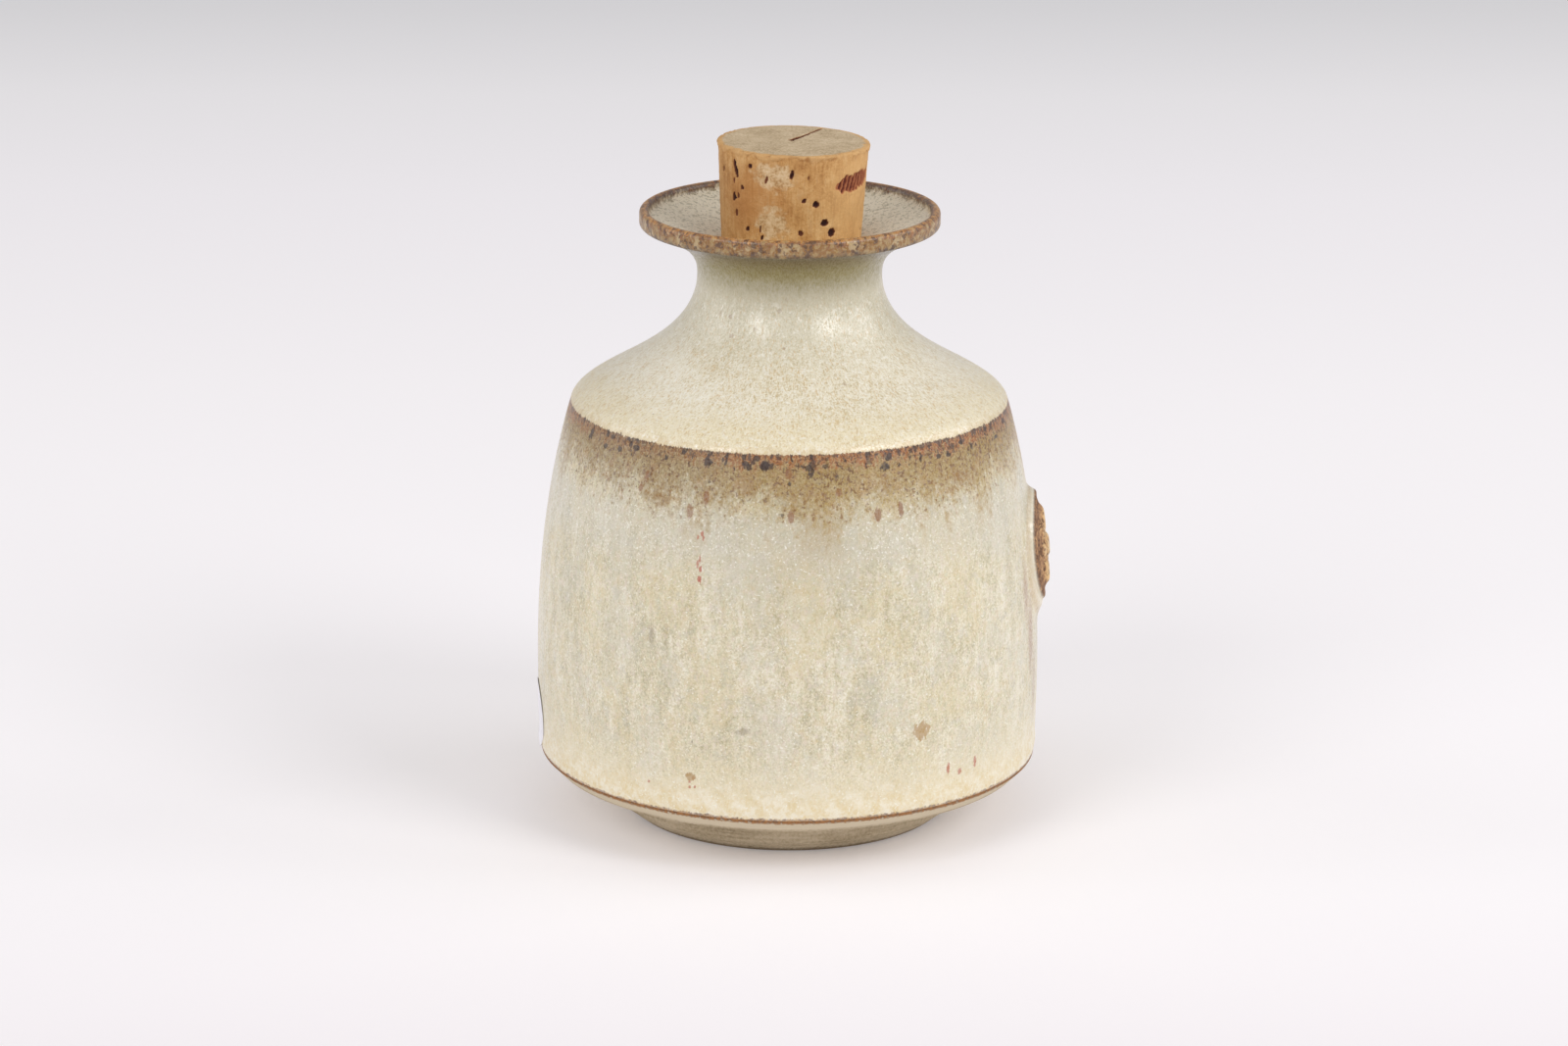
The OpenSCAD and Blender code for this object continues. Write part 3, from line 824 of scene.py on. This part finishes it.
# Cork stopper
# A tapered natural cork, cut from one piece of bark and pushed into the throat, where it leans a
# little to the right. Its side shows the bark's dark pores, and its top is grey from handling.
CORK_TOP_Z = 126.7
CORK_LENGTH = 32.0
CORK_TOP_RADIUS = 13.8
CORK_TIP_RADIUS = 12.0
CORK_EDGE = 0.5
CORK_COLUMNS = 360
CORK_SHOWN = 19.5
PORES = (
    # angle, depth below the top, width, length, slant, darkness
    (-50, 3.5, 0.9, 3.5, 0.25, 1.0),
    (-35, 2.5, 0.9, 0.9, 0.0, 0.9),
    (-1, 3.5, 0.7, 2.0, -0.15, 0.9),
    (19, 9, 1.3, 1.2, 0.0, 1.0),
    (27, 12.5, 1.7, 1.3, 0.0, 1.0),
    (34, 14.5, 1.5, 1.7, 0.0, 0.9),
)
STREWN_PORES = (
    # how many, then the ends of their angles, depths, widths, lengths, slants and darkness
    (34, (72, 292), (2, 18), (0.4, 1.3), (0.5, 2.6), (-0.2, 0.2), (0.4, 1.0)),
    (13, (-56, 14), (3, 16), (0.35, 1.0), (0.4, 1.8), (-0.3, 0.3), (0.4, 1.0)),
)
SCUFFS = (
    # angle, depth below the top, width, length
    (-15, 4, 8, 5.5),
    (-16, 13, 6.5, 7.5),
)
BARK_FROM = 34
BARK_TO = 92
BARK_UPPER = ((BARK_FROM, 6.5), (42, 4.5), (60, 4), (BARK_TO, 4.5))
BARK_LOWER = ((BARK_FROM, 6.5), (50, 7.5), (70, 7), (BARK_TO, 6))
CRACK = ((-0.5, 0.5), (1, 3.5), (2.5, 6), (5, 11.5))
PORE_DEPTH = 0.45
CHIP_DEPTH = 0.50
BARK_DEPTH = 0.25
GROOVE_DEPTH = 0.25
WORN_DEPTH = 0.07
CRACK_DEPTH = 0.7
LIP_OUT = 0.24


def perlin(points, size):
    """Smooth noise from -1 to 1 at points in millimetres, with spots about as large as size."""
    flat = points.reshape(-1, 3) / size
    return np.array([noise.noise(Vector(p)) for p in flat]).reshape(points.shape[:-1])


def eased(values, low, high):
    """0 at low, 1 at high and smooth between, as the step of a material's value."""
    part = ramp(values, low, high)
    return part * part * (3 - 2 * part)


def from_line(x, y, corners):
    """Distance of places from a line through corners."""
    nearest = np.full(x.shape, np.inf)
    for (x0, y0), (x1, y1) in zip(corners[:-1], corners[1:]):
        share = ((x - x0) * (x1 - x0) + (y - y0) * (y1 - y0)) / ((x1 - x0) ** 2 + (y1 - y0) ** 2)
        share = np.clip(share, 0, 1)
        nearest = np.minimum(nearest, np.hypot(x - x0 - share * (x1 - x0), y - y0 - share * (y1 - y0)))
    return nearest


tip = [(r, CORK_LENGTH) for r in (0.8, 4.0, 8.0, CORK_TIP_RADIUS - CORK_EDGE)]
side_depths = np.r_[
    np.arange(CORK_LENGTH - CORK_EDGE, CORK_SHOWN, -1.0), np.arange(CORK_SHOWN, CORK_EDGE, -0.25)
]
taper = (CORK_TOP_RADIUS - CORK_TIP_RADIUS) / CORK_LENGTH
side = [(CORK_TOP_RADIUS - taper * d, d) for d in side_depths]
bend = np.radians((10, 35, 60, 80))
edge = [(CORK_TOP_RADIUS - CORK_EDGE * (1 - math.cos(t)), CORK_EDGE * (1 - math.sin(t))) for t in bend]
top = [(r, 0.0) for r in np.arange(CORK_TOP_RADIUS - CORK_EDGE - 0.1, 0.2, -0.3)]
outline = np.array(tip + side + edge + top)
turns = np.radians(np.arange(CORK_COLUMNS) * 360 / CORK_COLUMNS)
turned = np.degrees(turns)[None, :]
turned = np.where(turned > 180, turned - 360, turned)
radius = np.repeat(outline[:, :1], CORK_COLUMNS, axis=1)
depth = np.repeat(outline[:, 1:], CORK_COLUMNS, axis=1)
on_side = (np.arange(len(outline)) >= len(tip))[:, None] & (depth > 0.05)
on_top = (np.arange(len(outline)) >= len(tip) + len(side))[:, None] & (depth < 0.3)
x, y = radius * np.sin(turns), -radius * np.cos(turns)
skin = np.stack([x, y, -depth], axis=-1)
fine_rough = perlin(skin, 0.55)
small_rough = perlin(skin, 1.3)
broad_rough = perlin(skin + 40, 4.0)

draw = np.random.default_rng(11)
pores = list(PORES)
for how_many, *ends in STREWN_PORES:
    for _ in range(how_many):
        pores.append([draw.uniform(*pair) for pair in ends])
pit = np.zeros_like(depth)
for angle, down, width, length, slant, dark in pores:
    away = (turned - angle + 180) % 360 - 180
    aside = np.radians(away) * radius - slant * (depth - down)
    shape = np.hypot(2 * aside / width, 2 * (depth - down) / length) + 0.35 * fine_rough
    pit = np.maximum(pit, dark * eased(shape, 1.15, 0.65) * on_side)
gap = from_line(x, y, CRACK) + 0.12 * fine_rough
crack = eased(gap - 0.26 * eased(y, 7.0, 2.0), 0.40, 0.12) * on_top
pit = np.maximum(pit, crack)

worn = np.zeros_like(depth)
for angle, down, width, length in SCUFFS:
    aside = np.radians(turned - angle) * radius
    shape = np.hypot(2 * aside / width, 2 * (depth - down) / length) + 0.5 * small_rough + 0.3 * fine_rough
    worn = np.maximum(worn, eased(shape, 1.05, 0.6) * on_side)

upper = np.interp(turned, *zip(*BARK_UPPER))
lower = np.interp(turned, *zip(*BARK_LOWER))
ragged = 0.7 * small_rough + 0.4 * fine_rough
bark = eased(depth - upper + ragged, -0.1, 0.2) * eased(lower - depth + ragged, -0.1, 0.2)
bark = bark * eased(turned, BARK_FROM, BARK_FROM + 3) * eased(turned, BARK_TO, BARK_TO - 4) * on_side
grooves = eased(np.sin(turned * 1.35 + 1.7 * depth + 2.4 * small_rough + 1.2 * fine_rough), -0.4, 0.5)

lip_end = 0.8 + 1.4 * perlin(skin * (1, 1, 0), 2.6) + 0.8 * small_rough
lip = eased(lip_end - depth, 0.0, 0.22) * on_side
# Painted shadow: a dark line just under the lip's lower edge.
lip_shadow = eased(np.abs(depth - lip_end - 0.15), 0.35, 0.05) * on_side * eased(broad_rough, -0.1, 0.3)

chips = eased(small_rough + 0.5 * fine_rough, 0.1, 0.5) * eased(depth, 1.5, 0.2)
pushed = LIP_OUT * lip - CHIP_DEPTH * chips - PORE_DEPTH * pit - bark * (BARK_DEPTH + GROOVE_DEPTH * grooves)
pushed = pushed - WORN_DEPTH * worn * (0.5 + small_rough)
pushed = (pushed + 0.05 * small_rough + 0.03 * fine_rough) * on_side * eased(CORK_SHOWN - 3 - depth, 0, 1.5)
radius = radius + pushed
sunk = (CRACK_DEPTH * crack + 0.06 * small_rough + 0.10 * broad_rough) * on_top
depth = depth + sunk * eased(CORK_TOP_RADIUS - radius, 0.2, 1.0)

rise = CORK_TOP_Z - SEAT_Z - depth
x, y = radius * np.sin(turns), -radius * np.cos(turns)
rings = np.stack(
    [
        x * math.cos(CORK_LEAN) + rise * math.sin(CORK_LEAN),
        y,
        SEAT_Z + rise * math.cos(CORK_LEAN) - x * math.sin(CORK_LEAN),
    ],
    axis=-1,
)
cork_mesh = closed_skin("cork_stopper_skin", rings)
dusty = eased(depth, 0.45, 0.05) * on_top * eased(CORK_TOP_RADIUS - radius + 0.5 * small_rough, 0.5, 1.1)
for name, field in (("pit", pit), ("worn", worn), ("bark", bark * (0.5 + 0.5 * grooves))):
    spread(cork_mesh, name, field)
spread(cork_mesh, "top", dusty)
spread(cork_mesh, "rim", np.maximum(lip, on_top * 1.0))
spread(cork_mesh, "under", lip_shadow)

# Colours of the cork, with its tones as those of the glaze.
CORK_TONES = ((0.38, linear(160, 110, 60)), (0.5, linear(197, 150, 93)), (0.62, linear(222, 184, 130)))
CORK_PAINTED_LIGHT = linear(238, 194, 134)
CORK_PAINTED_SHADE = linear(156, 114, 74)
CORK_AMBER = linear(182, 122, 66)
CORK_FIBRE = linear(166, 112, 62)
CORK_RIM = linear(214, 172, 118)
CORK_PAINTED_LIP_SHADOW = linear(146, 92, 46)
CORK_FLECK = linear(120, 78, 44)
WORN_TONES = ((0.38, linear(176, 138, 92)), (0.5, linear(212, 182, 140)), (0.62, linear(226, 202, 166)))
BARK_TONES = (
    (0.2, linear(208, 154, 100)),
    (0.5, linear(168, 104, 68)),
    (0.75, linear(128, 64, 42)),
    (1.0, linear(92, 40, 30)),
)
TOP_TONES = ((0.36, linear(160, 138, 106)), (0.5, linear(196, 174, 141)), (0.64, linear(216, 196, 166)))
PORE_TONES = ((0.0, linear(140, 80, 44)), (0.45, linear(104, 58, 36)), (0.9, linear(52, 24, 22)))

# Places on the cork in millimetres, and the reach of each, as on the wall.
PAINTED_CORK_LIGHT_AT = (14.5, -5, 117)
PAINTED_CORK_LIGHT_REACH = (15, 5)
PAINTED_CORK_SHADE_AT = (-15, -5, 116)
PAINTED_CORK_SHADE_REACH = (13, 4)
AMBER_AT = (-6.5, -11.5, 118)
AMBER_REACH = (9, 2)

cork_finish, cork_shader, place = finish_of("natural_cork")
fibre = place.scaled(1, 1, 0.07).noise(0.55, 3, 0.6)
patch = place.scaled(1, 1, 0.5).noise(5)
cells = place.noise(0.42, 3, 0.7)
blotch = place.noise(1.6, 2)
cork_tone = 0.30 * fibre + 0.30 * patch + 0.22 * cells + 0.18 * blotch
colour = cork_tone.shades(*CORK_TONES)
# Painted light on the cork's right side and painted shade on its left side.
painted_cork_light = place.distance(PAINTED_CORK_LIGHT_AT).step(*PAINTED_CORK_LIGHT_REACH)
colour = (painted_cork_light * 0.42).blend(colour, CORK_PAINTED_LIGHT)
painted_cork_shade = place.distance(PAINTED_CORK_SHADE_AT).step(*PAINTED_CORK_SHADE_REACH)
colour = (painted_cork_shade * 0.30).blend(colour, CORK_PAINTED_SHADE)
amber = place.distance(AMBER_AT).step(*AMBER_REACH)
colour = (amber * 0.5).blend(colour, CORK_AMBER)
colour = (fibre.step(0.54, 0.64) * 0.3).blend(colour, CORK_FIBRE)
colour = (stored(place, "rim") * 0.5).blend(colour, CORK_RIM)
# Painted shadow under the lip.
colour = (stored(place, "under") * 0.55).blend(colour, CORK_PAINTED_LIP_SHADOW)
worn_colour = (0.6 * cells + 0.4 * blotch).shades(*WORN_TONES)
colour = (stored(place, "worn") * 0.85).blend(colour, worn_colour)
bark_tone = stored(place, "bark")
colour = bark_tone.step(0.05, 0.2).blend(colour, bark_tone.shades(*BARK_TONES))
top_tone = 0.2 * blotch + 0.6 * cells + 0.2 * patch
colour = stored(place, "top").blend(colour, top_tone.shades(*TOP_TONES))
flecks = place.dots(1.4, 0.08, 0.16)
colour = (flecks * 0.6).blend(colour, CORK_FLECK)
hole = stored(place, "pit")
colour = hole.step(0.12, 0.35).blend(colour, hole.shades(*PORE_TONES))
feed(
    cork_shader,
    Base_Color=colour,
    Roughness=0.82 + 0.2 * (cells - 0.5),
    Normal=bumps(cells + 0.6 * fibre + 0.4 * blotch, 0.5, 0.3),
    Specular_IOR_Level=0.3,
)
cork_mesh.materials.append(cork_finish)
cork = bpy.data.objects.new("cork_stopper_skin", cork_mesh)
bpy.context.scene.collection.objects.link(cork)
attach(cork, "root")
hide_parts("cork_stopper")


# Price dot
# A blank round of white paper gummed low on the left side of the wall. It follows the wall's
# curve, and its edge has lifted a little in places.
DOT_RADIUS = 6.5
DOT_ANGLE = math.radians(-85)
DOT_Z = 18.3
DOT_GUM = 0.04
DOT_PAPER = 0.12
DOT_LIFT = 0.10
DOT_COLUMNS = 96
PAPER_TONES = ((0.35, linear(232, 230, 236)), (0.6, linear(246, 245, 250)))

dot_radii = np.r_[0.3, np.arange(0.8, DOT_RADIUS - 0.2, 0.5), DOT_RADIUS - 0.1, DOT_RADIUS]
turns = np.arange(DOT_COLUMNS) * 2 * math.pi / DOT_COLUMNS


def paper_face(radii, offset):
    """Rings of the paper at one of its faces, laid on the wall and lifted towards its edge."""
    reach = np.repeat(radii[:, None], DOT_COLUMNS, axis=1)
    up = DOT_Z + reach * np.cos(turns)
    angle = DOT_ANGLE + reach * np.sin(turns) / wall_radius(DOT_Z)
    lift = DOT_LIFT * (reach / DOT_RADIUS) ** 8 * (0.5 + 0.5 * np.sin(turns * 2 + 0.6))
    out = wall_radius(up) + stray(angle, up) + base_bead(up - BASE_Z) + offset + lift
    return np.stack([out * np.sin(angle), -out * np.cos(angle), up], axis=-1)


rings = np.concatenate([paper_face(dot_radii, DOT_GUM), paper_face(dot_radii[::-1], DOT_GUM + DOT_PAPER)])
dot_mesh = closed_skin("price_dot_paper", rings)
paper, paper_shader, place = finish_of("white_paper")
fibres = place.noise(0.35, 3, 0.7)
soil = place.noise(2.5)
feed(
    paper_shader,
    Base_Color=(0.6 * soil + 0.4 * fibres).shades(*PAPER_TONES),
    Roughness=0.62 + 0.2 * (fibres - 0.5),
    Normal=bumps(fibres, 0.2, 0.05),
    Specular_IOR_Level=0.35,
)
dot_mesh.materials.append(paper)
dot = bpy.data.objects.new("price_dot_paper", dot_mesh)
bpy.context.scene.collection.objects.link(dot)
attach(dot, "root")
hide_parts("price_dot")


# Floor and light
# A plain near-white floor that runs out of sight, and soft studio light: two lamps at the front,
# which leave the two soft highlights on the neck, and two wider ones at the sides.
FLOOR_REACH = 6.0
FLOOR_WHITE = linear(238, 235, 237)
# Painted shade: the floor's colour darkens in front of the bottle and far behind it.
FLOOR_PAINTED_SHADE_TONES = (
    # millimetres behind the bottle's axis, colour
    (-160, linear(225, 220, 223)),
    (-50, FLOOR_WHITE),
    (300, FLOOR_WHITE),
    (520, linear(235, 232, 235)),
    (662, linear(230, 228, 230)),
    (830, linear(216, 215, 217)),
)
LAMPS = (
    # name, place and size in metres, power in watts
    ("lamp_left", (-0.765, -0.945, 0.92), 0.8, 5.6),
    ("lamp_right", (0.941, -0.770, 0.92), 0.75, 7.0),
    ("lamp_side_left", (-2.40, 0.27, 1.10), 1.8, 10.2),
    ("lamp_side_right", (2.40, 0.27, 1.35), 1.8, 14.6),
)
LAMP_AIM = (0, 0, 0.06)
WORLD_COLOUR = (1.0, 0.99, 1.0, 1.0)
WORLD_LEVEL = 0.48
# The floor glows a little: painted light that lifts its shadows and lights the foot from below.
FLOOR_GLOW = 0.20

bpy.ops.mesh.primitive_plane_add(size=2 * FLOOR_REACH)
floor = bpy.context.object
floor.name = "floor"
floor_finish, floor_shader, floor_place = finish_of("floor_white")
back = floor_place.node("ShaderNodeSeparateXYZ", {0: floor_place}, out=1)
floor_colour = back.shades(*FLOOR_PAINTED_SHADE_TONES)
feed(
    floor_shader,
    Base_Color=floor_colour,
    Emission_Color=floor_colour,
    Emission_Strength=FLOOR_GLOW,
    Roughness=0.9,
    Specular_IOR_Level=0.1,
)
floor.data.materials.append(floor_finish)

for name, at, size, power in LAMPS:
    lamp_data = bpy.data.lights.new(name, "AREA")
    lamp_data.shape = "DISK"
    lamp_data.size = size
    lamp_data.energy = power
    lamp = bpy.data.objects.new(name, lamp_data)
    lamp.location = at
    aim = Vector(LAMP_AIM) - Vector(at)
    lamp.rotation_euler = aim.to_track_quat("-Z", "Y").to_euler()
    bpy.context.scene.collection.objects.link(lamp)

world = bpy.data.worlds.new("studio")
bpy.context.scene.world = world
world.use_nodes = True
sky = next(n for n in world.node_tree.nodes if n.type == "BACKGROUND")
sky.inputs["Color"].default_value = WORLD_COLOUR
sky.inputs["Strength"].default_value = WORLD_LEVEL

bpy.context.scene.view_settings.view_transform = "Standard"
